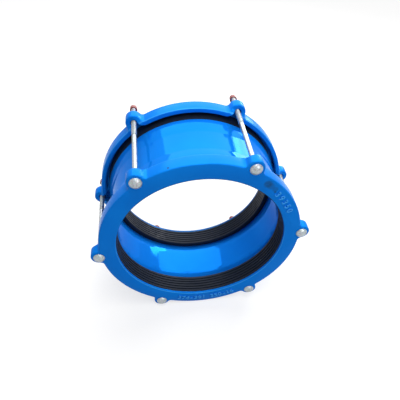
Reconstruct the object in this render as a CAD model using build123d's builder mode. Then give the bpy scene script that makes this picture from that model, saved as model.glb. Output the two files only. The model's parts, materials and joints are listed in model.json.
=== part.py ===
from build123d import *

# A wide-range flexible coupling for plain-ended pipe. Two cast gland rings are drawn together
# by six cup-head bolts, and each presses a ribbed rubber gasket into a flared end of the
# sleeve between them.
# Millimetres. The pipe axis is Y, with the bolt heads at the front (-Y). The origin is the
# middle of the sleeve, on the axis. The coupling lies on its gland rings and on the lugs of
# one bolt, with +Z up.

import os
from math import acos, cos, degrees, radians, sin, tan

# ---- what the coupling joins ----
pipe_od = 391.0         # the largest pipe that it takes
rib_gap = 1.0           # radial gap from that pipe to the gasket's ribs
bore_gap = 2.5          # radial gap from that pipe to a gland ring's bore
barrel_gap = 11.0       # radial gap from that pipe to the middle of the sleeve

# ---- sleeve ----
sleeve_len = 145.0
sleeve_wall = 6.0
flare_len = 40.0        # length of each flared end
flare_rise = 5.3        # how much the radius grows along a flare
sleeve_lip = 1.2        # rounding of the sleeve's end edges

# ---- gasket ----
heel_len = 39.0         # from the gland ring's plate to the sleeve's end
nose_len = 10.0         # how far the nose reaches into the sleeve
nose_round = 2.5
lead_in = 2.0           # bevel where the pipe enters the gasket
seat_gap = 0.3          # between gasket and sleeve, before the gasket is squeezed
groove_count = 5
groove_pitch = 8.0
groove_mouth = 3.2
groove_root = 1.8
groove_depth = 2.6

# ---- gland ring ----
plate = 6.0             # thickness of the front plate
ring_width = 33.0       # over the plate and the skirt
skirt_gap = 7.5         # radial gap from the sleeve's end to the skirt
skirt_wall = 11.5
bolt_standoff = 4.2     # from the skirt's outside to the bolt circle
lug_r = 19.5            # outside of a lug, about its bolt
lug_root = 9.0          # hollow where a lug runs into the ring
edge_round = 3.0        # outer edges
rim_round = 2.2         # inner edge of the skirt's rim
inside_round = 4.0      # corner between plate and skirt
bore_round = 1.5

# ---- fasteners ----
bolt_count = 6
thread_d = 12.0
shank_d = 10.9          # the plain shank of a rolled bolt is thinner than its thread
thread_len = 115.0
thread_past_nut = 29.5
thread_point = 1.3
head_d = 27.0
head_h = 8.5
head_rim = 1.3
neck_r = 7.0            # D-shaped neck that keeps the bolt from turning
neck_flat = 6.0         # from the bolt's axis to the flat of the D
neck_len = 5.0
neck_gap = 0.25         # around the neck in its hole
washer_od = 24.0
washer_hole_gap = 0.5   # radial gap of a washer on the thread
washer_t = 2.5
nut_across = 19.0
nut_h = 10.8
nut_face_d = 18.0       # flat left on each end of a nut by the turned-off corners
nut_gap = 0.05          # radial running gap of a nut on the thread
cap_grip = 0.05         # radial gap of a cap on the thread
cap_wall = 2.4
cap_depth = 10.5
cap_end = 2.8
cap_round = 4.2
cap_lip = 0.4           # how far the open end's lip stands out
cap_lip_len = 2.5

# ---- worked out from the above ----
pipe_r = pipe_od / 2
rib_r = pipe_r + rib_gap
bore_r = pipe_r + bore_gap
barrel_r = pipe_r + barrel_gap
mouth_r = barrel_r + flare_rise
sleeve_end_r = mouth_r + sleeve_wall
skirt_in_r = sleeve_end_r + skirt_gap
ring_r = skirt_in_r + skirt_wall
bolt_circle_r = ring_r + bolt_standoff
thread_r = thread_d / 2

sleeve_end_y = sleeve_len / 2
plate_in_y = sleeve_end_y + heel_len
face_y = plate_in_y + plate
rim_y = face_y - ring_width
washer_y = face_y + washer_t
nut_y = washer_y + nut_h
bolt_end_y = nut_y + thread_past_nut
thread_start_y = bolt_end_y - thread_len
nut_corner_r = nut_across / 2 / cos(radians(30))
nut_bevel = (nut_corner_r - nut_face_d / 2) * tan(radians(30))
cap_bore_r = thread_r + cap_grip
cap_r = cap_bore_r + cap_wall
cap_mouth_y = bolt_end_y - cap_depth
cap_bottom_y = bolt_end_y + cap_grip
cap_end_y = cap_bottom_y + cap_end

# The coupling rolls until the ring and one lug both touch the floor.
lug_to_floor = degrees(acos((ring_r - lug_r) / bolt_circle_r))
lug_pitch = 360 / bolt_count
first_angle = (270 - lug_to_floor) % lug_pitch
bolt_angles = [first_angle + lug_pitch * i for i in range(bolt_count)]


# Centres of the hollows beside each lug: distance from the pipe's axis, and angle from the bolt.
root_centre_r = ring_r + lug_root
root_angle = degrees(
    acos(
        (root_centre_r**2 + bolt_circle_r**2 - (lug_r + lug_root) ** 2)
        / (2 * root_centre_r * bolt_circle_r)
    )
)


def direction(angle):
    return Vector(cos(radians(angle)), sin(radians(angle)))


def bolt_point(angle, y):
    return Vector(bolt_circle_r * cos(radians(angle)), y, bolt_circle_r * sin(radians(angle)))


def outward(angle):
    return Vector(cos(radians(angle)), 0, sin(radians(angle)))


def section_plane(angle):
    """Plane through one bolt's axis: x is the distance from that axis, y runs along it."""
    return Plane(
        bolt_point(angle, 0), x_dir=outward(angle), z_dir=outward(angle).cross(Vector(0, 1, 0))
    )


def cross_plane(angle, y):
    """Plane square to one bolt's axis at y, facing the back."""
    return Plane(bolt_point(angle, y), x_dir=outward(angle), z_dir=(0, 1, 0))


def bolt_axis(angle):
    return Axis(bolt_point(angle, 0), (0, 1, 0))


def neck_outline(gap):
    """A D, its flat towards the pipe, grown by gap. Called inside a sketch."""
    Circle(neck_r + gap)
    with Locations((-neck_flat - gap, 0)):
        Rectangle(neck_r, 3 * neck_r, align=(Align.MAX, Align.CENTER), mode=Mode.SUBTRACT)


def gland_outline(inset):
    """Edges of a gland ring seen along the pipe, drawn inset from its outside."""
    ring = ring_r - inset
    lug = lug_r - inset
    root = lug_root + inset
    with BuildLine() as line:
        for angle in bolt_angles:
            bolt = direction(angle) * bolt_circle_r
            lug_ends = []
            for side in (-1, 1):
                centre = direction(angle + side * root_angle) * root_centre_r
                to_bolt = (bolt - centre).normalized()
                to_ring = centre.normalized() * -1
                lug_ends.append(bolt - to_bolt * lug)
                ThreePointArc(
                    centre + to_ring * root,
                    centre + (to_ring + to_bolt).normalized() * root,
                    centre + to_bolt * root,
                )
            ThreePointArc(lug_ends[0], bolt + direction(angle) * lug, lug_ends[1])
            ThreePointArc(
                direction(angle + root_angle) * ring,
                direction(angle + lug_pitch / 2) * ring,
                direction(angle + lug_pitch - root_angle) * ring,
            )
    return line.edges()


def save(builder, name):
    builder.part.label = name
    export_step(builder.part, f"parts/{name}.step")


os.makedirs("parts", exist_ok=True)

# ---- sleeve: a tube with both ends flared ----
with BuildPart() as sleeve:
    with BuildSketch(Plane.XY):
        with BuildLine():
            Polyline(
                (barrel_r, flare_len - sleeve_end_y),
                (mouth_r, -sleeve_end_y),
                (sleeve_end_r, -sleeve_end_y),
                (barrel_r + sleeve_wall, flare_len - sleeve_end_y),
                (barrel_r + sleeve_wall, sleeve_end_y - flare_len),
                (sleeve_end_r, sleeve_end_y),
                (mouth_r, sleeve_end_y),
                (barrel_r, sleeve_end_y - flare_len),
                close=True,
            )
        make_face()
    revolve(axis=Axis.Y)
    end_edges = sleeve.edges().group_by(Axis.Y)
    fillet(end_edges[0] + end_edges[-1], radius=sleeve_lip)
save(sleeve, "sleeve")

# ---- gaskets: a rubber ring with a ribbed bore, and a nose that enters the sleeve ----
nose_y = sleeve_end_y - nose_len
nose_r = mouth_r - flare_rise * nose_len / flare_len - seat_gap
land_y = nose_y + nose_round
ribs_mid_y = (land_y + plate_in_y - lead_in) / 2
with BuildPart() as rear_gasket:
    with BuildSketch(Plane.XY) as gasket_section:
        with BuildLine():
            Polyline(
                (rib_r, nose_y),
                (nose_r, nose_y),
                (mouth_r - seat_gap, sleeve_end_y + seat_gap),
                (sleeve_end_r, sleeve_end_y + seat_gap),
                (sleeve_end_r, plate_in_y),
                (rib_r, plate_in_y),
                close=True,
            )
        make_face()
        fillet(gasket_section.vertices().group_by(Axis.Y)[0], radius=nose_round)
        entry = gasket_section.vertices().group_by(Axis.Y)[-1].sort_by(Axis.X)[0]
        chamfer(entry, length=lead_in)
        with Locations((rib_r, ribs_mid_y)):
            with GridLocations(0, groove_pitch, 1, groove_count):
                Polygon(
                    (0, -groove_mouth / 2),
                    (groove_depth, -groove_root / 2),
                    (groove_depth, groove_root / 2),
                    (0, groove_mouth / 2),
                    align=None,
                    mode=Mode.SUBTRACT,
                )
    revolve(axis=Axis.Y)
save(rear_gasket, "rear_gasket")

with BuildPart() as front_gasket:
    mirror(rear_gasket.part, about=Plane.XZ)
save(front_gasket, "front_gasket")

# ---- gland rings: one casting, used twice. The skirt swells into a hollow lug at each bolt ----
with BuildSketch() as neck_hole:
    neck_outline(neck_gap)
with BuildPart() as front_gland_ring:
    with BuildSketch(Plane.XZ.offset(rim_y)):
        make_face(gland_outline(0))
    extrude(amount=ring_width)
    with BuildSketch(Plane.XZ.offset(rim_y)):
        make_face(gland_outline(skirt_wall))
    extrude(amount=ring_width - plate, mode=Mode.SUBTRACT)
    front_face, plate_inside, rim = front_gland_ring.faces().filter_by(Axis.Y).sort_by(Axis.Y)
    fillet(plate_inside.outer_wire().edges(), radius=inside_round)
    fillet(rim.inner_wires()[0].edges(), radius=rim_round)
    fillet(rim.outer_wire().edges() + front_face.outer_wire().edges(), radius=edge_round)
    with BuildSketch(Plane.XZ.offset(plate_in_y - inside_round)):
        Circle(bore_r)
        with PolarLocations(bolt_circle_r, bolt_count, start_angle=first_angle):
            add(neck_hole.sketch)
    extrude(amount=plate + inside_round, mode=Mode.SUBTRACT)
    front_rings = front_gland_ring.edges().group_by(Axis.Y)[0].filter_by(GeomType.CIRCLE)
    fillet(front_rings.sort_by(SortBy.LENGTH)[-1], radius=bore_round)
save(front_gland_ring, "front_gland_ring")

with BuildPart() as rear_gland_ring:
    mirror(front_gland_ring.part, about=Plane.XZ)
save(rear_gland_ring, "rear_gland_ring")

# ---- fasteners, one set at each lug ----
for number, angle in enumerate(bolt_angles, start=1):
    section = section_plane(angle)
    axis = bolt_axis(angle)

    # Cup-head bolt: the D-shaped neck under its head sits in the front ring's hole.
    with BuildPart() as tie_bolt:
        with BuildSketch(section):
            with BuildLine():
                dome = RadiusArc(
                    (0, -face_y - head_h),
                    (head_d / 2, -face_y - head_rim),
                    -((head_d / 2) ** 2 + (head_h - head_rim) ** 2) / (2 * (head_h - head_rim)),
                )
                Polyline(
                    dome @ 1,
                    (head_d / 2, -face_y),
                    (shank_d / 2, -face_y),
                    (shank_d / 2, thread_start_y - thread_point),
                    (thread_r, thread_start_y),
                    (thread_r, bolt_end_y - thread_point),
                    (thread_r - thread_point, bolt_end_y),
                    (0, bolt_end_y),
                    dome @ 0,
                )
            make_face()
        revolve(axis=axis)
        with BuildSketch(cross_plane(angle, -face_y)):
            neck_outline(0)
        extrude(amount=neck_len)
    save(tie_bolt, f"tie_bolt_{number}")

    with BuildPart() as washer:
        with BuildSketch(cross_plane(angle, face_y)):
            Circle(washer_od / 2)
            Circle(thread_r + washer_hole_gap, mode=Mode.SUBTRACT)
        extrude(amount=washer_t)
    save(washer, f"washer_{number}")

    # Hexagon nut, with the corners of both ends turned off.
    with BuildPart() as nut:
        with BuildSketch(cross_plane(angle, washer_y)):
            RegularPolygon(nut_across / 2, 6, major_radius=False)
            Circle(thread_r + nut_gap, mode=Mode.SUBTRACT)
        extrude(amount=nut_h)
        with BuildSketch(section):
            with BuildLine():
                Polyline(
                    (0, washer_y),
                    (nut_face_d / 2, washer_y),
                    (nut_corner_r, washer_y + nut_bevel),
                    (nut_corner_r, nut_y - nut_bevel),
                    (nut_face_d / 2, nut_y),
                    (0, nut_y),
                    close=True,
                )
            make_face()
        revolve(axis=axis, mode=Mode.INTERSECT)
    save(nut, f"nut_{number}")

    # Push-on cap over the end of the thread.
    with BuildPart() as thread_cap:
        with BuildSketch(section):
            with BuildLine():
                Polyline(
                    (cap_bore_r, cap_mouth_y),
                    (cap_r + cap_lip, cap_mouth_y),
                    (cap_r + cap_lip, cap_mouth_y + cap_lip_len),
                    (cap_r, cap_mouth_y + cap_lip_len),
                    (cap_r, cap_end_y),
                    (0, cap_end_y),
                    (0, cap_bottom_y),
                    (cap_bore_r, cap_bottom_y),
                    close=True,
                )
            make_face()
        revolve(axis=axis)
        fillet(thread_cap.edges().group_by(Axis.Y)[-1], radius=cap_round)
    save(thread_cap, f"thread_cap_{number}")
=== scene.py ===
import json
from math import acos, atan2, cos, pi, radians, sin, tau

import bmesh
import bpy
from mathutils import Euler, Matrix, Vector


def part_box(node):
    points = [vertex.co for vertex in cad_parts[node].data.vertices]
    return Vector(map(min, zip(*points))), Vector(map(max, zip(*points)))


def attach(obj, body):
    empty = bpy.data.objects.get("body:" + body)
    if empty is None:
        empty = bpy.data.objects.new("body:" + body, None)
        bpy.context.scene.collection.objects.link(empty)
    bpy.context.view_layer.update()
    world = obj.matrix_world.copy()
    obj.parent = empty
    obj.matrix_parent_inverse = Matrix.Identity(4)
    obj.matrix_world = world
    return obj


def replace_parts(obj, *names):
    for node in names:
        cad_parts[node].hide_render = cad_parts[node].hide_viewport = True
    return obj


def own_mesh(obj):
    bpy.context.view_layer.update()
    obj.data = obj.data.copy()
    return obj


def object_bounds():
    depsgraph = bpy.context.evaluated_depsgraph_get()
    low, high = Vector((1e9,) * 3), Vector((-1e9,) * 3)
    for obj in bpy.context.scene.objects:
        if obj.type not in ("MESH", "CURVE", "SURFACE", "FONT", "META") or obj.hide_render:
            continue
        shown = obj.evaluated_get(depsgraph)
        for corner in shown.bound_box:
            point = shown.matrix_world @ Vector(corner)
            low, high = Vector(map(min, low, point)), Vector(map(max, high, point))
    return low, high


# A wide-range pipe coupling, dressed over its CAD frame. Metres. The pipe axis is Y, with the
# bolt heads at -Y, and Z is up. Radii are from the pipe axis unless a name says otherwise.

bl_info = {
    "name": "Wide-range pipe coupling",
    "version": (1, 0, 0),
    "blender": (4, 5, 0),
    "location": "View3D > Sidebar > Coupling",
    "description": "Builds the coupling's sleeve, gland rings, gaskets, tie bolts and caps",
    "category": "Object",
}

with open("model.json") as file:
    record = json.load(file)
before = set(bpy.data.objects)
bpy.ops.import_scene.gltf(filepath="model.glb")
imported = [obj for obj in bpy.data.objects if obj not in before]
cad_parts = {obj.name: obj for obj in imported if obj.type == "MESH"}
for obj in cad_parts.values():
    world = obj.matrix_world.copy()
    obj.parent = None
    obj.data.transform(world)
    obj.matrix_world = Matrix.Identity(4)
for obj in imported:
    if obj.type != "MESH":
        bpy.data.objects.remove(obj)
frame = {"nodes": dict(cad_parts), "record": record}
cad_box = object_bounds()

MM = 0.001
PIPE_AXIS = Vector((0, 1, 0))
TOWARDS_LUGS = Vector((0, -1, 0))       # turning about this takes +X to +Z
FRONT_BODY = "front_clamp"
REAR_BODY = "rear_gland"
ROUND_STEPS = 192                       # around the pipe
SMALL_STEPS = 40                        # around a bolt
THREAD_STEPS = 20                       # in one turn of thread
DOME_STEPS = 8                          # from the middle of a bolt's head to its edge
EDGE_STEPS = 5                          # in a rounded edge
RING_STEPS = 16                         # in the ring's outline, from a lug to halfway to the next
ROOT_STEPS = 8                          # in the hollow beside a lug
LUG_STEPS = 20                          # round a lug
JOIN = 1e-6                             # points closer than this are one point
SPARE = 5 * MM                          # how far a cutter reaches past what it cuts
DIGIT_HEIGHT = 0.72                     # of a number set at size 1
BOLTS = range(1, 1 + sum(name.startswith("tie_bolt_") for name in frame["nodes"]))


# ---------------------------------------------------------------- sizes read from the frame

def box(node):
    low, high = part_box(node)
    return Vector(low), Vector(high)


def bolt_centre(number):
    low, high = box(f"tie_bolt_{number}")
    return Vector(((low.x + high.x) / 2, 0, (low.z + high.z) / 2))


def mount(name):
    return next(m for m in frame["record"]["mounts"] if m["name"] == name)


SLEEVE_END_Y = box("sleeve")[1].y
SLEEVE_END_R = box("sleeve")[1].x
RIB_R = mount("pipe_bore")["dims"]["r_mm"] * MM
NOSE_Y = box("rear_gasket")[0].y
PLATE_IN_Y = box("rear_gasket")[1].y
FACE_Y = box("rear_gland_ring")[1].y
RIM_Y = box("rear_gland_ring")[0].y
RING_R = -box("rear_gland_ring")[0].z
BOLT_CIRCLE_R = bolt_centre(1).length
HEAD_R = (box("tie_bolt_1")[1] - box("tie_bolt_1")[0]).x / 2
HEAD_TOP_Y = box("tie_bolt_1")[0].y
BOLT_END_Y = box("tie_bolt_1")[1].y
CAP_MOUTH_Y = box("thread_cap_1")[0].y
CAP_END_Y = box("thread_cap_1")[1].y
CAP_LIP_R = (box("thread_cap_1")[1] - box("thread_cap_1")[0]).x / 2


# ---------------------------------------------------------------- settings

def length(name, description, default):
    return bpy.props.FloatProperty(
        name=name, description=description, default=default, unit="LENGTH", precision=5, min=0
    )


def rotation(name, description, default):
    return bpy.props.FloatProperty(
        name=name, description=description, default=default, unit="ROTATION", subtype="ANGLE"
    )


def share(name, description, default, low=0.0):
    return bpy.props.FloatProperty(
        name=name, description=description, default=default, subtype="FACTOR", min=low, max=1
    )


def watts(name, description, default):
    return bpy.props.FloatProperty(
        name=name, description=description, default=default, unit="POWER", min=0
    )


def millimetres(name, description, default):
    return bpy.props.FloatProperty(
        name=name, description=description, default=default, unit="CAMERA", min=1
    )


def position(name, description, default):
    return bpy.props.FloatVectorProperty(
        name=name, description=description, default=default, unit="LENGTH",
        subtype="TRANSLATION", size=3,
    )


def colour(name, description, default):
    return bpy.props.FloatVectorProperty(
        name=name, description=description, default=default, subtype="COLOR", size=3, min=0, max=1
    )


class CouplingSleeve(bpy.types.PropertyGroup):
    wall: length("Wall", "Thickness of the sleeve", 6 * MM)
    flare_len: length("Flare length", "Length of each flared end", 40 * MM)
    flare_rise: length("Flare rise", "How much the radius grows along a flare", 5.3 * MM)
    lip: length("End rounding", "Rounding of the sleeve's end edges", 1.2 * MM)
    bend: length("Bend", "Rounding where a flare begins", 3 * MM)


class CouplingGasket(bpy.types.PropertyGroup):
    nose_round: length("Nose rounding", "Rounding of the nose inside the sleeve", 2.5 * MM)
    lead_in: length("Lead-in", "Bevel where the pipe enters", 2 * MM)
    seat_gap: length("Seat gap", "Gap between a loose gasket and the sleeve", 0.3 * MM)
    grooves: bpy.props.IntProperty(
        name="Grooves", description="Grooves in the bore", default=5, subtype="UNSIGNED", min=0
    )
    groove_pitch: length("Groove pitch", "From one groove to the next", 8 * MM)
    groove_mouth: length("Groove mouth", "Width of a groove at the bore", 3.2 * MM)
    groove_root: length("Groove root", "Width of a groove at its bottom", 1.8 * MM)
    groove_depth: length("Groove depth", "Depth of a groove", 2.6 * MM)
    squeezed: share("Squeezed", "How much of its length a tightened gasket keeps", 0.664, low=0.1)


class CouplingRing(bpy.types.PropertyGroup):
    plate: length("Plate", "Thickness of the front plate", 6 * MM)
    skirt_wall: length("Skirt wall", "Thickness of the skirt and the lugs", 11.5 * MM)
    bore_gap: length("Bore gap", "From the gasket's ribs to the ring's bore", 1.5 * MM)
    lug_r: length("Lug radius", "Outside of a lug, about its bolt", 19.5 * MM)
    lug_set_back: length("Lug set-back", "How much shorter than the skirt a lug is", 8 * MM)
    lug_root: length("Lug root", "Hollow where a lug runs into the ring", 9 * MM)
    edge_round: length("Edge rounding", "Rounding of the outer edges", 3 * MM)
    rim_round: length("Rim rounding", "Rounding of the rim's inner edge", 2.2 * MM)
    inside_round: length("Inside rounding", "Corner between plate and skirt", 4 * MM)
    bore_round: length("Bore rounding", "Rounding of the bore's outer edge", 1.5 * MM)
    hole_r: length("Bolt hole", "Radius of a bolt hole", 7.25 * MM)
    hole_flat: length("Bolt hole flat", "From the bolt's axis to the flat of its hole", 6.25 * MM)
    pipe_range: bpy.props.StringProperty(
        name="Pipe range", description="Numbers cast between two lugs", default="374-391 350-16"
    )
    pattern_number: bpy.props.StringProperty(
        name="Pattern number", description="Number cast between two other lugs", default="39350"
    )
    range_spacing: rotation("Range spacing", "Between the range's numbers", radians(2.97))
    pattern_spacing: rotation("Pattern spacing", "Between the pattern's numbers", radians(4.1))
    number_size: length("Number size", "Height of the cast numbers", 14.5 * MM)
    number_rise: length("Number rise", "How far the cast numbers stand out", 2.2 * MM)
    number_slope: length("Number slope", "Width of the slope round each stroke", 0.6 * MM)


class CouplingBolt(bpy.types.PropertyGroup):
    shank_r: length("Shank radius", "Radius of the plain shank", 5.45 * MM)
    thread_r: length("Thread radius", "Outside radius of the thread", 6 * MM)
    thread_depth: length("Thread depth", "From the crest to the root", 0.7 * MM)
    pitch: length("Pitch", "From one turn of thread to the next", 1.75 * MM)
    thread_len: length("Thread length", "Length of the thread", 115 * MM)
    head_rim: length("Head rim", "Height of the head's straight edge", 1.3 * MM)
    head_edge: length("Head edge", "Rounding where the dome meets that edge", 0.5 * MM)
    head_foot: length("Head foot", "Rounding of the edge on the ring", 0.3 * MM)
    cap_gap: length("Cap gap", "Gap between a cap and the thread", 0.05 * MM)
    cap_wall: length("Cap wall", "Thickness of a cap's side", 2.4 * MM)
    cap_end: length("Cap end", "Thickness of a cap's end", 2.8 * MM)
    cap_round: length("Cap rounding", "Rounding of a cap's end", 4.2 * MM)
    cap_lip: length("Cap lip", "Length of the lip at a cap's mouth", 2.5 * MM)
    cap_edge: length("Cap edges", "Rounding of a cap's other edges", 0.6 * MM)


class CouplingFinish(bpy.types.PropertyGroup):
    blue: colour("Coating", "Epoxy coating", (0.0035, 0.205, 0.80))
    blue_thin: colour("Thin coating", "Where the coating is thinner", (0.0045, 0.228, 0.84))
    gloss: colour("Gloss", "Tint of the coating's gloss", (0.25, 0.6, 1.0))
    rubber: colour("Rubber", "Gaskets", (0.010, 0.016, 0.030))
    bloom: colour("Bloom", "Greyed patches of the rubber", (0.022, 0.030, 0.048))
    speck: colour("Speck", "Grit on the front gasket", (0.15, 0.17, 0.16))
    zinc: colour("Zinc", "Galvanised steel", (0.42, 0.465, 0.49))
    zinc_dull: colour("Dull zinc", "Weathered patches of the zinc", (0.27, 0.30, 0.315))
    cap: colour("Caps", "Thread caps", (0.25, 0.032, 0.030))
    cap_scuffed: colour("Scuffed caps", "Scuffed patches of the caps", (0.40, 0.09, 0.08))
    # Real handling dirt on the front ring, and also painted shade: the dark laid on the upper
    # part of each bore's rounded edge and on the rear ring's bore wall.
    dirt_and_painted_shade: colour("Dirt", "Handling marks on the coating", (0.02, 0.05, 0.06))
    # Painted highlight: a lighter blue laid on the tops of the raised numbers, the lower part of
    # each bore's rounded edge and the rounded outer edge of each rim, where light catches them.
    painted_highlight_blue: colour("Rubbed coating", "Raised numbers and the bore's edge", (0.06, 0.42, 1.0))


class CouplingStage(bpy.types.PropertyGroup):
    camera_place: position("Camera place", "Where the camera stands", (-0.0958, -0.7442, 0.7235))
    camera_turn: bpy.props.FloatVectorProperty(
        name="Camera turn", description="How the camera is turned", subtype="EULER",
        unit="ROTATION", size=3, default=(radians(41.23), radians(-2.26), radians(-7.66)),
    )
    shift_x: share("Shift across", "Sideways shift, in frame widths", -0.0225, low=-1)
    shift_y: share("Shift up", "Upward shift, in frame widths", 0.1125, low=-1)
    lens: millimetres("Lens", "Focal length", 36.62)
    sensor: millimetres("Sensor", "Width of the camera's sensor", 36)
    behind_place: position("Behind", "Place of the large softbox behind", (0.33, 1.0, 1.2))
    behind_size: length("Behind size", "Its diameter", 2.4)
    behind_watts: watts("Behind power", "Its power", 36)
    overhead_place: position("Overhead", "Place of the softbox overhead", (0.1, -0.45, 1.75))
    overhead_size: length("Overhead size", "Its diameter", 0.8)
    overhead_watts: watts("Overhead power", "Its power", 10)
    front_place: position("Front", "Place of the softbox in front", (1.1, -1.7, 1.3))
    front_size: length("Front size", "Its diameter", 1.2)
    front_watts: watts("Front power", "Its power", 12)
    window_place: position("Window", "Place of the low light at the back", (1.16, 1.58, 0.40))
    window_size: length("Window size", "Its diameter", 0.6)
    window_watts: watts("Window power", "Its power", 8)
    sky_light: share("Sky light", "Strength of the white sky as a light", 0.3)
    sky_seen: share("Sky seen", "Strength of the white sky as seen", 1.0)
    floor: colour("Floor", "Colour of the floor", (0.40, 0.40, 0.40))
    floor_reach: length("Floor reach", "From the middle of the floor to its edges", 8)
    glow_near: share("Glow near", "Glow of the floor round the coupling", 0.68)
    glow_far: share("Glow far", "Glow of the floor far away", 0.90)
    fade_start: length("Fade start", "Where the glow begins to rise", 0.8)
    fade_end: length("Fade end", "Where the glow stops rising", 4.0)


class CouplingSettings(bpy.types.PropertyGroup):
    sleeve: bpy.props.PointerProperty(type=CouplingSleeve)
    gasket: bpy.props.PointerProperty(type=CouplingGasket)
    ring: bpy.props.PointerProperty(type=CouplingRing)
    bolt: bpy.props.PointerProperty(type=CouplingBolt)
    finish: bpy.props.PointerProperty(type=CouplingFinish)
    stage: bpy.props.PointerProperty(type=CouplingStage)


# ---------------------------------------------------------------- materials

# The coating on the pressed sleeve and on the castings. Its grain is the metal's, under it.
TUBE_COAT = dict(grain=60, grain_height=0.03 * MM, metal=0.22, shine=0.02, rough=0.06)
CAST_COAT = dict(grain=95, grain_height=0.25 * MM, metal=0.15, shine=0.03, rough=0.20)

SPECK_PLACE = (0.1633, -0.0907, -0.1092)
SPECK_R = 2 * MM


class Nodes:
    """A node tree. Most methods add a node and return its output."""

    def __init__(self, tree):
        self.tree = tree

    def link(self, source, target):
        self.tree.links.new(source, target)

    def feed(self, socket, value):
        if isinstance(value, bpy.types.NodeSocket):
            self.link(value, socket)
        else:
            socket.default_value = value

    def add(self, kind, **sockets):
        """Adds a node, feeds the sockets named, and returns the node itself."""
        node = self.tree.nodes.new("ShaderNode" + kind)
        for name, value in sockets.items():
            self.feed(node.inputs[name.replace("_", " ")], value)
        return node

    def math(self, operation, *values):
        node = self.add("Math")
        node.operation = operation
        for socket, value in zip(node.inputs, values):
            self.feed(socket, value)
        return node.outputs["Value"]

    def times(self, a, b):
        return self.math("MULTIPLY", a, b)

    def distance(self, vector):
        """Length of a vector."""
        node = self.add("VectorMath", Vector=vector)
        node.operation = "LENGTH"
        return node.outputs["Value"]

    def spread(self, value, low, high, to_low=0.0, to_high=1.0, curve="SMOOTHSTEP"):
        """Runs from to_low to to_high while the value runs from low to high."""
        node = self.add(
            "MapRange", Value=value, From_Min=low, From_Max=high, To_Min=to_low, To_Max=to_high
        )
        node.interpolation_type = curve
        return node.outputs["Result"]

    def seen(self):
        """1 for rays from the camera, straight or by way of gloss or glass."""
        path = self.add("LightPath").outputs
        straight_or_gloss = self.math("MAXIMUM", path["Is Camera Ray"], path["Is Glossy Ray"])
        return self.math("MAXIMUM", straight_or_gloss, path["Is Transmission Ray"])


class Look(Nodes):
    """A material's nodes. Places are Object coordinates, in metres."""

    def __init__(self, name):
        self.material = bpy.data.materials.new(name)
        self.material.use_nodes = True
        super().__init__(self.material.node_tree)
        self.tree.nodes.clear()
        self.place = self.add("TexCoord").outputs["Object"]

    def principled(self, **sockets):
        """Ends the material in a Principled shader."""
        return self.end(self.add("BsdfPrincipled", **sockets).outputs["BSDF"])

    def end(self, shader):
        self.add("OutputMaterial", Surface=shader)
        return self.material

    def moved(self, centre=(0, 0, 0), scale=(1, 1, 1)):
        """The place, measured from a centre and divided by a scale."""
        node = self.add("Mapping", Vector=self.place, Location=centre, Scale=scale)
        node.vector_type = "TEXTURE"
        return node.outputs["Vector"]

    def noise(self, scale, detail=3, rough=0.5):
        node = self.add(
            "TexNoise", Vector=self.place, Scale=scale, Detail=detail, Roughness=rough
        )
        return node.outputs["Fac"]

    def patchy(self, scale, low, high, detail=3):
        """Wanders between low and high in soft patches."""
        return self.spread(self.noise(scale, detail), 0.3, 0.7, low, high)

    def cells(self, scale):
        return self.add("TexVoronoi", Vector=self.place, Scale=scale).outputs["Color"]

    def mix(self, factor, a, b):
        """Colour a where the factor is 0, and colour b where it is 1."""
        node = self.add("Mix")
        node.data_type = "RGBA"
        self.feed(node.inputs["Factor"], factor)
        for name, value in (("A", a), ("B", b)):
            is_socket = isinstance(value, bpy.types.NodeSocket)
            self.feed(node.inputs[name], value if is_socket else (*value, 1))
        return node.outputs["Result"]

    def bump(self, height, distance, strength, under=None):
        node = self.add("Bump", Height=height, Distance=distance, Strength=strength)
        if under is not None:
            self.link(under, node.inputs["Normal"])
        return node.outputs["Normal"]

    def along(self, axis):
        """Place along X, Y or Z."""
        return self.add("SeparateXYZ", Vector=self.place).outputs[axis]

    def from_middle(self):
        """Distance along the pipe from the middle of the coupling."""
        return self.math("ABSOLUTE", self.along("Y"))

    def from_axis(self):
        """Distance from the pipe's axis: the scale shrinks Y to next to nothing."""
        return self.distance(self.moved(scale=(1, 1e6, 1)))

    def spot(self, centre, radius):
        """1 within a soft blob about a point, 0 outside it."""
        out = self.distance(self.moved(centre, (radius, radius, radius)))
        return self.spread(out, 1.0, 0.45)

    def band(self, value, start, full, fade, end, strength=1.0):
        """Has its strength between full and fade, and 0 outside start and end."""
        rise = self.spread(value, start, full, 0.0, strength)
        return self.times(rise, self.spread(value, end, fade))


def coating(name, finish, grain, grain_height, metal, shine, rough, marks=()):
    """Blue epoxy. A mark is a function that makes a mask, and the colour shown there."""
    look = Look(name)
    drift = look.spread(look.noise(9, 2), 0.35, 0.7)
    paint = look.mix(drift, finish.blue, finish.blue_thin)
    for mask, tint in marks:
        paint = look.mix(mask(look), paint, tint)
    peel = look.bump(look.noise(330, 2), 0.05 * MM, 0.5)
    return look.principled(
        Base_Color=paint,
        Metallic=metal,
        Roughness=look.patchy(40, rough * 0.8, rough * 1.3),
        Specular_IOR_Level=shine,
        Specular_Tint=(*finish.gloss, 1),
        Normal=look.bump(look.noise(grain, 4, 0.6), grain_height, 0.8, under=peel),
    )


def rubber(finish):
    look = Look("black_rubber")
    bloom = look.spread(look.noise(28, 4, 0.6), 0.45, 0.8)
    black = look.mix(look.times(bloom, 0.35), finish.rubber, finish.bloom)
    return look.principled(
        Base_Color=look.mix(look.spot(SPECK_PLACE, SPECK_R), black, finish.speck),
        Roughness=look.patchy(60, 0.34, 0.5),
        Specular_IOR_Level=0.12,
        Normal=look.bump(look.noise(900, 2), 0.06 * MM, 0.5),
    )


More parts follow.
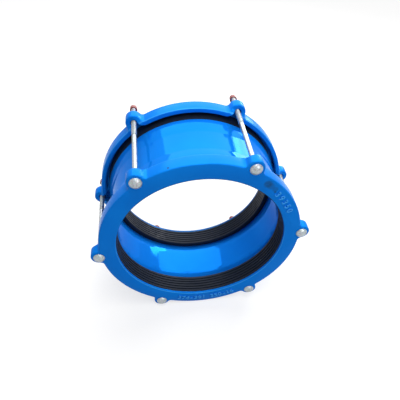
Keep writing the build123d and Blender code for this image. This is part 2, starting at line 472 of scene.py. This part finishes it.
def zinc(finish):
    look = Look("galvanised_steel")
    dull = look.spread(look.noise(300, 3, 0.6), 0.47, 0.62)
    return look.principled(
        Base_Color=look.mix(0.12, look.mix(dull, finish.zinc, finish.zinc_dull), look.cells(700)),
        Metallic=1.0,
        Roughness=look.patchy(260, 0.30, 0.5),
        Normal=look.bump(look.noise(420, 4, 0.6), 0.12 * MM, 0.6),
    )


def cap_plastic(finish):
    look = Look("red_plastic")
    scuff = look.spread(look.noise(300, 3), 0.5, 0.75)
    return look.principled(
        Base_Color=look.mix(look.times(scuff, 0.3), finish.cap, finish.cap_scuffed),
        Roughness=look.patchy(200, 0.18, 0.32, detail=2),
        Normal=look.bump(look.noise(500, 2), 0.04 * MM, 0.5),
    )


# ---------------------------------------------------------------- modelling helpers

def put(name, data):
    """Adds an object to the scene."""
    made = bpy.data.objects.new(name, data)
    bpy.context.scene.collection.objects.link(made)
    return made


def finished(bm, name, body, material, sharp=35):
    """Turns a bmesh into a piece that rides on a body. Edges over `sharp` degrees stay sharp."""
    bmesh.ops.remove_doubles(bm, verts=bm.verts, dist=JOIN)
    bmesh.ops.dissolve_degenerate(bm, edges=bm.edges, dist=JOIN / 10)
    bmesh.ops.recalc_face_normals(bm, faces=bm.faces)
    mesh = bpy.data.meshes.new(name)
    bm.to_mesh(mesh)
    bm.free()
    mesh.polygons.foreach_set("use_smooth", [True] * len(mesh.polygons))
    mesh.set_sharp_from_angle(angle=radians(sharp))
    mesh.materials.append(material)
    piece = put(name, mesh)
    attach(piece, body)
    return piece


def dress(node, material):
    """Gives a CAD node its finish."""
    slots = frame["nodes"][node].data.materials
    slots.clear()
    slots.append(material)


def draw(bm, corners, closed):
    """A line through (radius, y, rounding) corners, in the XY plane, with its corners rounded."""
    verts = [bm.verts.new((radius, y, 0)) for radius, y, _ in corners]
    for a, b in zip(verts, verts[1:]):
        bm.edges.new((a, b))
    if closed:
        bm.edges.new((verts[-1], verts[0]))
    for vert, (_, _, rounding) in zip(verts, corners):
        if rounding:
            bmesh.ops.bevel(
                bm, geom=[vert], offset=rounding, segments=EDGE_STEPS, profile=0.5,
                affect="VERTICES", material=-1,
            )


def turned(corners, steps=ROUND_STEPS, closed=True):
    """A line through the corners, turned all the way round the Y axis."""
    bm = bmesh.new()
    draw(bm, corners, closed)
    bmesh.ops.spin(
        bm, geom=bm.verts[:] + bm.edges[:], cent=(0, 0, 0), axis=PIPE_AXIS, angle=tau,
        steps=steps, use_merge=True,
    )
    return bm


def mirrored(bm):
    """The same shape at the other end of the coupling."""
    bmesh.ops.scale(bm, vec=(1, -1, 1), verts=bm.verts)
    return bm


def carve(bm, cutters):
    """Cuts closed shapes out of bm and returns what is left."""
    def solid(shape):
        bmesh.ops.remove_doubles(shape, verts=shape.verts, dist=JOIN)
        bmesh.ops.recalc_face_normals(shape, faces=shape.faces)
        mesh = bpy.data.meshes.new("carving")
        shape.to_mesh(mesh)
        shape.free()
        return put("carving", mesh)

    body = solid(bm)
    tools = [solid(cutter) for cutter in cutters]
    for tool in tools:
        modifier = body.modifiers.new("cut", "BOOLEAN")
        modifier.operation = "DIFFERENCE"
        modifier.solver = "EXACT"
        modifier.object = tool
    left = bmesh.new()
    left.from_object(body, bpy.context.evaluated_depsgraph_get())
    for made in [body] + tools:
        mesh = made.data
        bpy.data.objects.remove(made)
        bpy.data.meshes.remove(mesh)
    return left


# ---------------------------------------------------------------- sleeve

class COUPLING_OT_sleeve(bpy.types.Operator):
    """Centre sleeve: a tube with both ends flared"""

    bl_idname = "coupling.sleeve"
    bl_label = "Sleeve"

    def execute(self, context):
        settings = context.scene.coupling
        size = settings.sleeve
        barrel_out = SLEEVE_END_R - size.flare_rise
        barrel_in = barrel_out - size.wall
        mouth = SLEEVE_END_R - size.wall
        flare_y = SLEEVE_END_Y - size.flare_len
        bm = turned([
            (barrel_in, -flare_y, size.bend),
            (mouth, -SLEEVE_END_Y, size.lip),
            (SLEEVE_END_R, -SLEEVE_END_Y, size.lip),
            (barrel_out, -flare_y, size.bend),
            (barrel_out, flare_y, size.bend),
            (SLEEVE_END_R, SLEEVE_END_Y, size.lip),
            (mouth, SLEEVE_END_Y, size.lip),
            (barrel_in, flare_y, size.bend),
        ])
        material = coating("sleeve_coating", settings.finish, **TUBE_COAT)
        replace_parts(finished(bm, "coated_sleeve", "sleeve", material), "sleeve")
        return {"FINISHED"}


# ---------------------------------------------------------------- gaskets

def gasket_section(size, sleeve):
    """Section of the rear gasket, from the nose round the outside and back along the bore."""
    mouth = SLEEVE_END_R - sleeve.wall
    nose_len = SLEEVE_END_Y - NOSE_Y
    nose_r = mouth - sleeve.flare_rise * nose_len / sleeve.flare_len - size.seat_gap
    corners = [
        (RIB_R, NOSE_Y, size.nose_round),
        (nose_r, NOSE_Y, size.nose_round),
        (mouth - size.seat_gap, SLEEVE_END_Y + size.seat_gap, 0),
        (SLEEVE_END_R, SLEEVE_END_Y + size.seat_gap, 0),
        (SLEEVE_END_R, PLATE_IN_Y, 0),
        (RIB_R + size.lead_in, PLATE_IN_Y, 0),
        (RIB_R, PLATE_IN_Y - size.lead_in, 0),
    ]
    middle = (NOSE_Y + size.nose_round + PLATE_IN_Y - size.lead_in) / 2
    for number in reversed(range(size.grooves)):
        y = middle + (number - (size.grooves - 1) / 2) * size.groove_pitch
        corners += [
            (RIB_R, y + size.groove_mouth / 2, 0),
            (RIB_R + size.groove_depth, y + size.groove_root / 2, 0),
            (RIB_R + size.groove_depth, y - size.groove_root / 2, 0),
            (RIB_R, y - size.groove_mouth / 2, 0),
        ]
    return corners


class COUPLING_OT_gaskets(bpy.types.Operator):
    """Two rubber gaskets, ribbed inside"""

    bl_idname = "coupling.gaskets"
    bl_label = "Gaskets"

    def execute(self, context):
        settings = context.scene.coupling
        size = settings.gasket
        material = rubber(settings.finish)
        section = gasket_section(size, settings.sleeve)
        rear = finished(turned(section), "ribbed_rear_gasket", REAR_BODY, material)
        front = finished(
            mirrored(turned(section)), "ribbed_front_gasket", FRONT_BODY, material
        )
        for piece, node, side in ((front, "front_gasket", -1), (rear, "rear_gasket", 1)):
            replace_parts(piece, node)
            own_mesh(piece)
        return {"FINISHED"}


# ---------------------------------------------------------------- gland rings

def swing(bm, vert, centre, angle, steps):
    """Draws an arc from a vertex about a centre, and returns its last vertex."""
    made = bmesh.ops.spin(
        bm, geom=[vert], cent=centre, axis=TOWARDS_LUGS, angle=angle, steps=steps
    )
    return next(item for item in made["geom_last"] if isinstance(item, bmesh.types.BMVert))


def lug_outline(bm, size):
    """The ring's outline along the pipe: round, swelling into a lug at each bolt."""
    bolt = bolt_centre(1)
    bolt_angle = atan2(bolt.z, bolt.x)
    root_centre_r = RING_R + size.lug_root
    span = size.lug_r + size.lug_root
    root_angle = acos(
        (root_centre_r**2 + BOLT_CIRCLE_R**2 - span**2) / (2 * root_centre_r * BOLT_CIRCLE_R)
    )
    pitch = tau / len(BOLTS)

    def point(radius, angle):
        return Vector((radius * cos(angle), 0, radius * sin(angle)))

    before = point(root_centre_r, bolt_angle - root_angle)
    after = point(root_centre_r, bolt_angle + root_angle)
    hollow = (-before).angle(bolt - before)
    lug = 2 * bolt.angle(before - bolt)
    vert = bm.verts.new(point(RING_R, bolt_angle - pitch / 2))
    vert = swing(bm, vert, (0, 0, 0), pitch / 2 - root_angle, RING_STEPS)
    vert = swing(bm, vert, before, -hollow, ROOT_STEPS)
    vert = swing(bm, vert, bolt, lug, LUG_STEPS)
    vert = swing(bm, vert, after, -hollow, ROOT_STEPS)
    swing(bm, vert, (0, 0, 0), pitch / 2 - root_angle, RING_STEPS)
    bmesh.ops.spin(
        bm, geom=bm.verts[:] + bm.edges[:], cent=(0, 0, 0), axis=TOWARDS_LUGS,
        angle=tau - pitch, steps=len(BOLTS) - 1, use_duplicate=True,
    )
    bmesh.ops.remove_doubles(bm, verts=bm.verts, dist=JOIN)


def quarter(radius):
    """Steps (across, along) of a quarter round that leaves a wall and ends square to it."""
    turns = [pi / 2 * step / EDGE_STEPS for step in range(EDGE_STEPS + 1)]
    return [
        (radius * (cos(a) - cos(b)), radius * (sin(b) - sin(a))) for a, b in zip(turns, turns[1:])
    ]


def draw_in(bm, face, steps):
    """Steps a flat end inwards and along: the way a rounded edge or a pocket is cut."""
    for across, along in steps:
        bmesh.ops.inset_region(
            bm, faces=[face], thickness=across, depth=along, use_even_offset=True,
            use_boundary=True,
        )


def set_back_lugs(bm, size):
    """Draws each lug's end back from the rim of the skirt, in a rounded slope."""
    hollow_top = BOLT_CIRCLE_R + size.lug_r - size.skirt_wall
    for vert in bm.verts:
        if vert.co.y < RIM_Y + size.edge_round + JOIN:
            out = (Vector((vert.co.x, vert.co.z)).length - RING_R) / (hollow_top - RING_R)
            vert.co.y += size.lug_set_back * sin(pi / 2 * min(max(out, 0), 1))


def gland_ring(size):
    """The rear gland ring, whose plate is at the far end."""
    bm = bmesh.new()
    lug_outline(bm, size)
    bmesh.ops.translate(bm, vec=(0, RIM_Y + size.edge_round, 0), verts=bm.verts)
    rim = bmesh.ops.edgeloop_fill(bm, edges=bm.edges)["faces"][0]
    made = bmesh.ops.extrude_face_region(bm, geom=[rim])["geom"]
    moved = [item for item in made if isinstance(item, bmesh.types.BMVert)]
    bmesh.ops.translate(bm, vec=(0, FACE_Y - RIM_Y - 2 * size.edge_round, 0), verts=moved)
    bmesh.ops.recalc_face_normals(bm, faces=bm.faces)
    ends = [face for face in bm.faces if len(face.verts) > 4]
    rim, face = sorted(ends, key=lambda end: end.calc_center_median().y)
    draw_in(bm, face, quarter(size.edge_round))
    draw_in(bm, rim, quarter(size.edge_round))
    draw_in(bm, rim, [(size.skirt_wall - size.edge_round - size.rim_round, 0)])
    draw_in(bm, rim, [(along, -across) for across, along in reversed(quarter(size.rim_round))])
    pocket = FACE_Y - RIM_Y - size.plate - size.rim_round - size.inside_round
    draw_in(bm, rim, [(0, -pocket)])
    draw_in(bm, rim, [(across, -along) for across, along in quarter(size.inside_round)])

    set_back_lugs(bm, size)

    bore_r = RIB_R + size.bore_gap
    plate_in = FACE_Y - size.plate
    halfway = size.bore_round * (1 - cos(pi / 4))
    bore = turned([
        (0, plate_in - SPARE, 0),
        (bore_r, plate_in - SPARE, 0),
        (bore_r, FACE_Y - size.bore_round, 0),
        (bore_r + halfway, FACE_Y - halfway, 0),
        (bore_r + size.bore_round, FACE_Y, 0),
        (bore_r + size.bore_round + SPARE, FACE_Y + SPARE, 0),
        (0, FACE_Y + SPARE, 0),
    ])
    holes = [bolt_hole(size, bolt_centre(number)) for number in BOLTS]
    return carve(bm, [bore] + holes)


def bolt_hole(size, centre):
    """Cutter for one D-shaped bolt hole, its flat towards the pipe."""
    low = FACE_Y - size.plate - size.inside_round
    bm = turned([
        (0, low, 0),
        (size.hole_r, low, 0),
        (size.hole_r, FACE_Y + SPARE, 0),
        (0, FACE_Y + SPARE, 0),
    ], SMALL_STEPS)
    bmesh.ops.remove_doubles(bm, verts=bm.verts, dist=JOIN)
    flat = bmesh.ops.bisect_plane(
        bm, geom=bm.verts[:] + bm.edges[:] + bm.faces[:], plane_co=(-size.hole_flat, 0, 0),
        plane_no=(-1, 0, 0), clear_outer=True,
    )
    rim = [item for item in flat["geom_cut"] if isinstance(item, bmesh.types.BMEdge)]
    bmesh.ops.edgeloop_fill(bm, edges=rim)
    to_lug = Matrix.Translation(centre) @ Matrix.Rotation(-atan2(centre.z, centre.x), 4, "Y")
    bmesh.ops.transform(bm, matrix=to_lug, verts=bm.verts)
    return bm


def character_mesh(character, size):
    """One raised number, upright in the XY plane and centred, its front at +Z."""
    curve = bpy.data.curves.new("number", "FONT")
    curve.body = character
    curve.align_x = "CENTER"
    curve.align_y = "CENTER"
    curve.size = size.number_size / DIGIT_HEIGHT
    curve.extrude = size.number_rise - size.number_slope
    curve.bevel_depth = size.number_slope
    holder = put("number", curve)
    mesh = bpy.data.meshes.new_from_object(
        holder.evaluated_get(bpy.context.evaluated_depsgraph_get())
    )
    bpy.data.objects.remove(holder)
    bpy.data.curves.remove(curve)
    return mesh


def cast_row(bm, size, text, middle, spacing, side, tops_out):
    """Raises a row of numbers on a ring's face. The side is -1 in front and 1 behind."""
    radius = (RIB_R + size.bore_gap + RING_R) / 2
    forwards = Vector((0, side, 0))
    reading = side if tops_out else -side
    for count, character in enumerate(text):
        if character == " ":
            continue
        angle = middle + reading * (count - (len(text) - 1) / 2) * spacing
        outward = Vector((cos(angle), 0, sin(angle)))
        top = outward if tops_out else -outward
        turn_to_face = Matrix((top.cross(forwards), top, forwards)).transposed().to_4x4()
        mesh = character_mesh(character, size)
        mesh.transform(Matrix.Translation(outward * radius + forwards * FACE_Y) @ turn_to_face)
        bm.from_mesh(mesh)
        bpy.data.meshes.remove(mesh)


def cast_numbers(bm, size, side):
    """Raises both rows of numbers on a ring's face, each midway between two lugs."""
    bolt = bolt_centre(1)
    pitch = tau / len(BOLTS)
    after_first_lug = atan2(bolt.z, bolt.x) + pitch / 2
    for text, lugs_on, spacing, tops_out in (
        (size.pattern_number, 0, size.pattern_spacing, True),
        (size.pipe_range, -2, size.range_spacing, False),
    ):
        middle = after_first_lug + lugs_on * pitch
        if side > 0:
            middle = pi - middle
        cast_row(bm, size, text, middle, spacing, side, tops_out)


# Dirt on the front ring: centre, radius, strength, and how much of it noise takes away.
SMUDGES = (
    ((0.1346, -FACE_Y, 0.1766), 12 * MM, 0.55, 0.2),
    ((0.1420, -FACE_Y, 0.1701), 11 * MM, 0.35, 0.2),
    ((0.1521, -FACE_Y, 0.1611), 9 * MM, 0.35, 0.2),
    ((0.1532, -FACE_Y, 0.1535), 3.5 * MM, 0.6, 0.0),
    ((-0.0709, -0.1097, 0.2259), 3.5 * MM, 0.8, 0.0),
)


def smudge(centre, radius, strength, broken):
    """Mask of one soft patch of dirt."""
    def mask(look):
        patch = look.times(look.spot(centre, radius), strength)
        return look.times(patch, look.spread(look.noise(140, 4, 0.6), broken, broken + 0.25))
    return mask


def painted_bore_wall_shade(look):
    """Mask of painted shade on the wall of a ring's bore."""
    return look.spread(look.from_axis(), RIB_R + 4 * MM, RIB_R + 2 * MM, 0.0, 0.6)


def painted_number_highlight(look):
    """Mask of a painted highlight on the tops of the raised numbers."""
    return look.spread(look.from_middle(), FACE_Y + 1.2 * MM, FACE_Y + 1.8 * MM, 0.0, 0.8)


def painted_rim_highlight(look):
    """Mask of a painted highlight on the rounded outer edge of a ring's rim."""
    edge = look.band(
        look.from_middle(), RIM_Y + 0.4 * MM, RIM_Y + 1.0 * MM, RIM_Y + 2.3 * MM,
        RIM_Y + 3.0 * MM, strength=0.6,
    )
    return look.times(edge, look.spread(look.from_axis(), RING_R - 5 * MM, RING_R - 4 * MM))


def bore_edge(look):
    """Mask of the rounded edge of a ring's bore."""
    return look.band(
        look.from_axis(), RIB_R + 1.55 * MM, RIB_R + 1.9 * MM, RIB_R + 3.0 * MM, RIB_R + 3.3 * MM
    )


def painted_bore_edge_highlight(look):
    """Mask of a painted highlight on the lower part of that edge."""
    return look.times(bore_edge(look), look.spread(look.along("Z"), 0.06, -0.02, 0.0, 0.7))


def painted_bore_edge_shade(look):
    """Mask of painted shade on the upper part of that edge."""
    return look.times(bore_edge(look), look.spread(look.along("Z"), 0.06, 0.13, 0.0, 0.9))


class COUPLING_OT_gland_rings(bpy.types.Operator):
    """Two cast gland rings, with hollow bolt lugs"""

    bl_idname = "coupling.gland_rings"
    bl_label = "Gland rings"

    def execute(self, context):
        size = context.scene.coupling.ring
        finish = context.scene.coupling.finish
        rear = gland_ring(size)
        front = mirrored(rear.copy())
        cast_numbers(front, size, -1)
        cast_numbers(rear, size, 1)
        # Painted highlights on the raised numbers, the lower bore edge and the rim edge; painted
        # shade on the upper bore edge of both rings and on the rear ring's bore wall; real dirt
        # smudges on the front ring.
        painted_highlights = [(mask, finish.painted_highlight_blue) for mask in (painted_number_highlight, painted_bore_edge_highlight, painted_rim_highlight)]
        smudges = [smudge(*values) for values in SMUDGES]
        rear_marks = painted_highlights + [(mask, finish.dirt_and_painted_shade) for mask in (painted_bore_edge_shade, painted_bore_wall_shade)]
        front_marks = painted_highlights + [(mask, finish.dirt_and_painted_shade) for mask in (painted_bore_edge_shade, *smudges)]
        plain = coating("rear_casting_coating", finish, marks=rear_marks, **CAST_COAT)
        marked = coating("front_casting_coating", finish, marks=front_marks, **CAST_COAT)
        rear_piece = finished(rear, "cast_rear_ring", REAR_BODY, plain)
        front_piece = finished(front, "cast_front_ring", FRONT_BODY, marked)
        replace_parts(rear_piece, "rear_gland_ring")
        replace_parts(front_piece, "front_gland_ring")
        return {"FINISHED"}


# ---------------------------------------------------------------- bolts, nuts, washers and caps

def add_thread(bm, size, low, high):
    """Whole turns of thread about the Y axis, from low to no further than high."""
    crest = size.thread_r
    root = size.thread_r - size.thread_depth
    flat = size.pitch / 8
    section = (
        (crest, 0),
        (crest, flat),
        (root, size.pitch / 2),
        (root, size.pitch / 2 + 2 * flat),
        (crest, size.pitch),
    )
    verts = [bm.verts.new((radius, low + y, 0)) for radius, y in section]
    edges = [bm.edges.new(pair) for pair in zip(verts, verts[1:])]
    turns = int((high - low) / size.pitch) - 1
    bmesh.ops.spin(
        bm, geom=verts + edges, cent=(0, 0, 0), axis=PIPE_AXIS, angle=tau * turns,
        steps=THREAD_STEPS * turns, dvec=(0, size.pitch / THREAD_STEPS, 0),
    )


class COUPLING_OT_tie_bolts(bpy.types.Operator):
    """Cup-head tie bolts with rolled threads"""

    bl_idname = "coupling.tie_bolts"
    bl_label = "Tie bolts"

    def execute(self, context):
        settings = context.scene.coupling
        size = settings.bolt
        material = zinc(settings.finish)
        for number in BOLTS:
            piece = finished(
                self.bolt(size, bolt_centre(number)), f"cup_head_bolt_{number}", FRONT_BODY,
                material, sharp=30,
            )
            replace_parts(piece, f"tie_bolt_{number}")
        for number in BOLTS:
            dress(f"nut_{number}", material)
            dress(f"washer_{number}", material)
        return {"FINISHED"}

    def bolt(self, size, centre):
        thread_low = BOLT_END_Y - size.thread_len
        core = size.thread_r - size.thread_depth
        rise = -FACE_Y - size.head_rim - HEAD_TOP_Y
        dome_r = (HEAD_R**2 + rise**2) / (2 * rise)
        edge = acos((dome_r - rise) / dome_r)
        turns = [edge * step / DOME_STEPS for step in range(DOME_STEPS)]
        dome = [(dome_r * sin(a), HEAD_TOP_Y + dome_r * (1 - cos(a)), 0) for a in turns]
        bm = turned(dome + [
            (HEAD_R, -FACE_Y - size.head_rim, size.head_edge),
            (HEAD_R, -FACE_Y, size.head_foot),
            (size.shank_r, -FACE_Y, 0),
            (size.shank_r, thread_low, 0),
            (core, thread_low + 2 * size.pitch, 0),
            (core, BOLT_END_Y, 0),
            (0, BOLT_END_Y, 0),
        ], SMALL_STEPS, closed=False)
        add_thread(bm, size, thread_low - size.pitch, BOLT_END_Y)
        bmesh.ops.translate(bm, vec=centre, verts=bm.verts)
        return bm


class COUPLING_OT_thread_caps(bpy.types.Operator):
    """Red push-on caps over the ends of the threads"""

    bl_idname = "coupling.thread_caps"
    bl_label = "Thread caps"

    def execute(self, context):
        settings = context.scene.coupling
        size = settings.bolt
        material = cap_plastic(settings.finish)
        bore = size.thread_r + size.cap_gap
        outside = bore + size.cap_wall
        lip_y = CAP_MOUTH_Y + size.cap_lip
        for number in BOLTS:
            bm = turned([
                (0, CAP_END_Y - size.cap_end, 0),
                (bore, CAP_END_Y - size.cap_end, 0),
                (bore, CAP_MOUTH_Y, size.cap_edge),
                (CAP_LIP_R, CAP_MOUTH_Y, size.cap_edge),
                (CAP_LIP_R, lip_y, size.cap_edge),
                (outside, lip_y, size.cap_edge),
                (outside, CAP_END_Y, size.cap_round),
                (0, CAP_END_Y, 0),
            ], SMALL_STEPS, closed=False)
            bmesh.ops.translate(bm, vec=bolt_centre(number), verts=bm.verts)
            body = f"thread_cap_{number}"
            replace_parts(finished(bm, f"red_cap_{number}", body, material), body)
        return {"FINISHED"}


# ---------------------------------------------------------------- stage

class COUPLING_OT_stage(bpy.types.Operator):
    """Floor, backdrop, lamps and camera"""

    bl_idname = "coupling.stage"
    bl_label = "Stage"

    def execute(self, context):
        stage = context.scene.coupling.stage
        self.floor(stage)
        self.sky(stage)
        self.lamp("behind", stage.behind_place, stage.behind_size, stage.behind_watts)
        self.lamp("overhead", stage.overhead_place, stage.overhead_size, stage.overhead_watts)
        self.lamp("front", stage.front_place, stage.front_size, stage.front_watts)
        self.lamp("window", stage.window_place, stage.window_size, stage.window_watts)
        self.camera(stage)
        context.scene.view_settings.view_transform = "Standard"
        return {"FINISHED"}

    def floor(self, stage):
        """A pale floor that shows white to the camera and keeps the coupling's shadow."""
        bm = bmesh.new()
        bmesh.ops.create_grid(bm, x_segments=1, y_segments=1, size=stage.floor_reach)
        bmesh.ops.translate(bm, vec=(0, 0, cad_box[0][2]), verts=bm.verts)
        mesh = bpy.data.meshes.new("floor")
        bm.to_mesh(mesh)
        bm.free()
        look = Look("pale_floor")
        glow = look.spread(
            look.distance(look.place), stage.fade_start, stage.fade_end, stage.glow_near,
            stage.glow_far, curve="LINEAR",
        )
        matt = look.add("BsdfDiffuse", Color=(*stage.floor, 1))
        lit = look.add("Emission", Strength=look.times(look.seen(), glow))
        both = look.add("AddShader")
        look.link(matt.outputs["BSDF"], both.inputs[0])
        look.link(lit.outputs["Emission"], both.inputs[1])
        mesh.materials.append(look.end(both.outputs["Shader"]))
        put("floor", mesh)

    def sky(self, stage):
        """A white sky, weaker as a light than it looks."""
        world = bpy.data.worlds.new("studio")
        world.use_nodes = True
        nodes = Nodes(world.node_tree)
        strength = nodes.spread(
            nodes.seen(), 0, 1, stage.sky_light, stage.sky_seen, curve="LINEAR"
        )
        background = world.node_tree.nodes["Background"]
        background.inputs["Color"].default_value = (1, 1, 1, 1)
        nodes.feed(background.inputs["Strength"], strength)
        bpy.context.scene.world = world

    def lamp(self, name, where, size, power):
        """A round softbox aimed at the middle of the coupling."""
        data = bpy.data.lights.new(name, "AREA")
        data.shape = "DISK"
        data.size = size
        data.energy = power
        lamp = put(name, data)
        lamp.location = where
        lamp.rotation_euler = (-Vector(where)).to_track_quat("-Z", "Y").to_euler()

    def camera(self, stage):
        data = bpy.data.cameras.new("camera")
        data.lens = stage.lens
        data.sensor_width = stage.sensor
        data.shift_x = stage.shift_x
        data.shift_y = stage.shift_y
        camera = put("camera", data)
        camera.location = stage.camera_place
        camera.rotation_euler = Euler(stage.camera_turn)
        bpy.context.scene.camera = camera


# ---------------------------------------------------------------- panel and registration

class COUPLING_PT_build(bpy.types.Panel):
    """Lists the coupling's pieces"""

    bl_idname = "COUPLING_PT_build"
    bl_label = "Pipe coupling"
    bl_space_type = "VIEW_3D"
    bl_region_type = "UI"
    bl_category = "Coupling"

    def draw(self, context):
        for operator in OPERATORS:
            self.layout.operator(operator.bl_idname)


OPERATORS = (
    COUPLING_OT_stage,
    COUPLING_OT_sleeve,
    COUPLING_OT_gaskets,
    COUPLING_OT_gland_rings,
    COUPLING_OT_tie_bolts,
    COUPLING_OT_thread_caps,
)
CLASSES = (
    CouplingSleeve,
    CouplingGasket,
    CouplingRing,
    CouplingBolt,
    CouplingFinish,
    CouplingStage,
    CouplingSettings,
    *OPERATORS,
    COUPLING_PT_build,
)


def register():
    for item in CLASSES:
        bpy.utils.register_class(item)
    bpy.types.Scene.coupling = bpy.props.PointerProperty(type=CouplingSettings)


def unregister():
    del bpy.types.Scene.coupling
    for item in reversed(CLASSES):
        bpy.utils.unregister_class(item)


def main():
    register()
    bpy.ops.coupling.stage()
    bpy.ops.coupling.sleeve()
    bpy.ops.coupling.gaskets()
    bpy.ops.coupling.gland_rings()
    bpy.ops.coupling.tie_bolts()
    bpy.ops.coupling.thread_caps()


if __name__ == "__main__":
    main()
